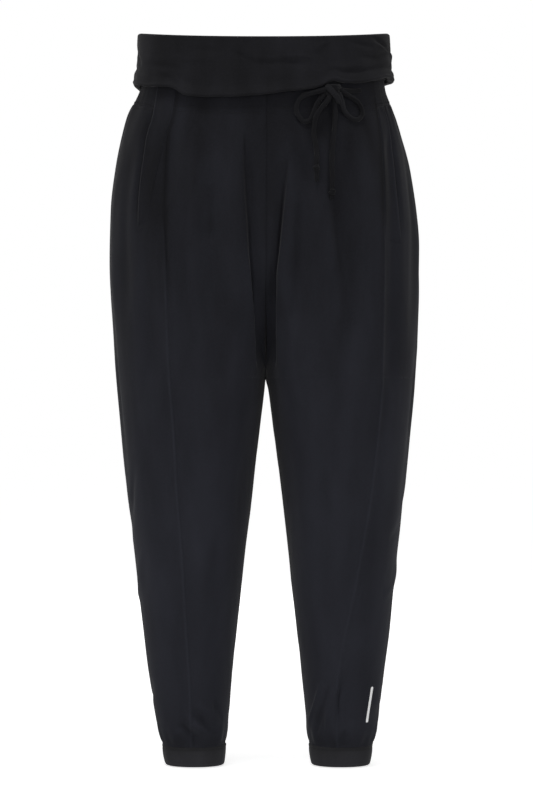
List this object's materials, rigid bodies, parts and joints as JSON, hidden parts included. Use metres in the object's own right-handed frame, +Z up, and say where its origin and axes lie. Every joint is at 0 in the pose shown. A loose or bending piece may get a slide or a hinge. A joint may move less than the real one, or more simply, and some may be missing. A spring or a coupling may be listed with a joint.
{
  "type": "joggers",
  "caption": "Drop-crotch jersey joggers, filled out as worn, with a fold-over waistband, gathered casing, tied drawstring bow, slanted pockets and ankle cuffs.",
  "frame": {"origin": "centre of the waist, level with the elastic casing, where the wearer holds the joggers up", "axes": "+Z up through the waist opening, -Y towards the front, +X towards the wearer's left"},
  "size_m": [0.4072, 0.2944, 0.9599],
  "materials": {
    "jersey": "matt knit",
    "tie_cord": "matt"
  },
  "bodies": {
    "root": {"waistband_fold": "jersey", "waist_casing": "jersey", "front_panel_left": "jersey", "front_panel_right": "jersey", "back_panel_left": "jersey", "back_panel_right": "jersey", "pocket_band_left": "jersey", "pocket_band_right": "jersey", "cuff_left": "jersey", "cuff_right": "jersey", "bow_knot": "tie_cord", "bow_loop_inner": "tie_cord", "bow_loop_outer": "tie_cord", "tie_lead": "tie_cord", "tie_end_inner": "tie_cord", "tie_end_outer": "tie_cord", "tie_end_knot_inner": "tie_cord", "tie_end_knot_outer": "tie_cord"}
  },
  "joints": []
}
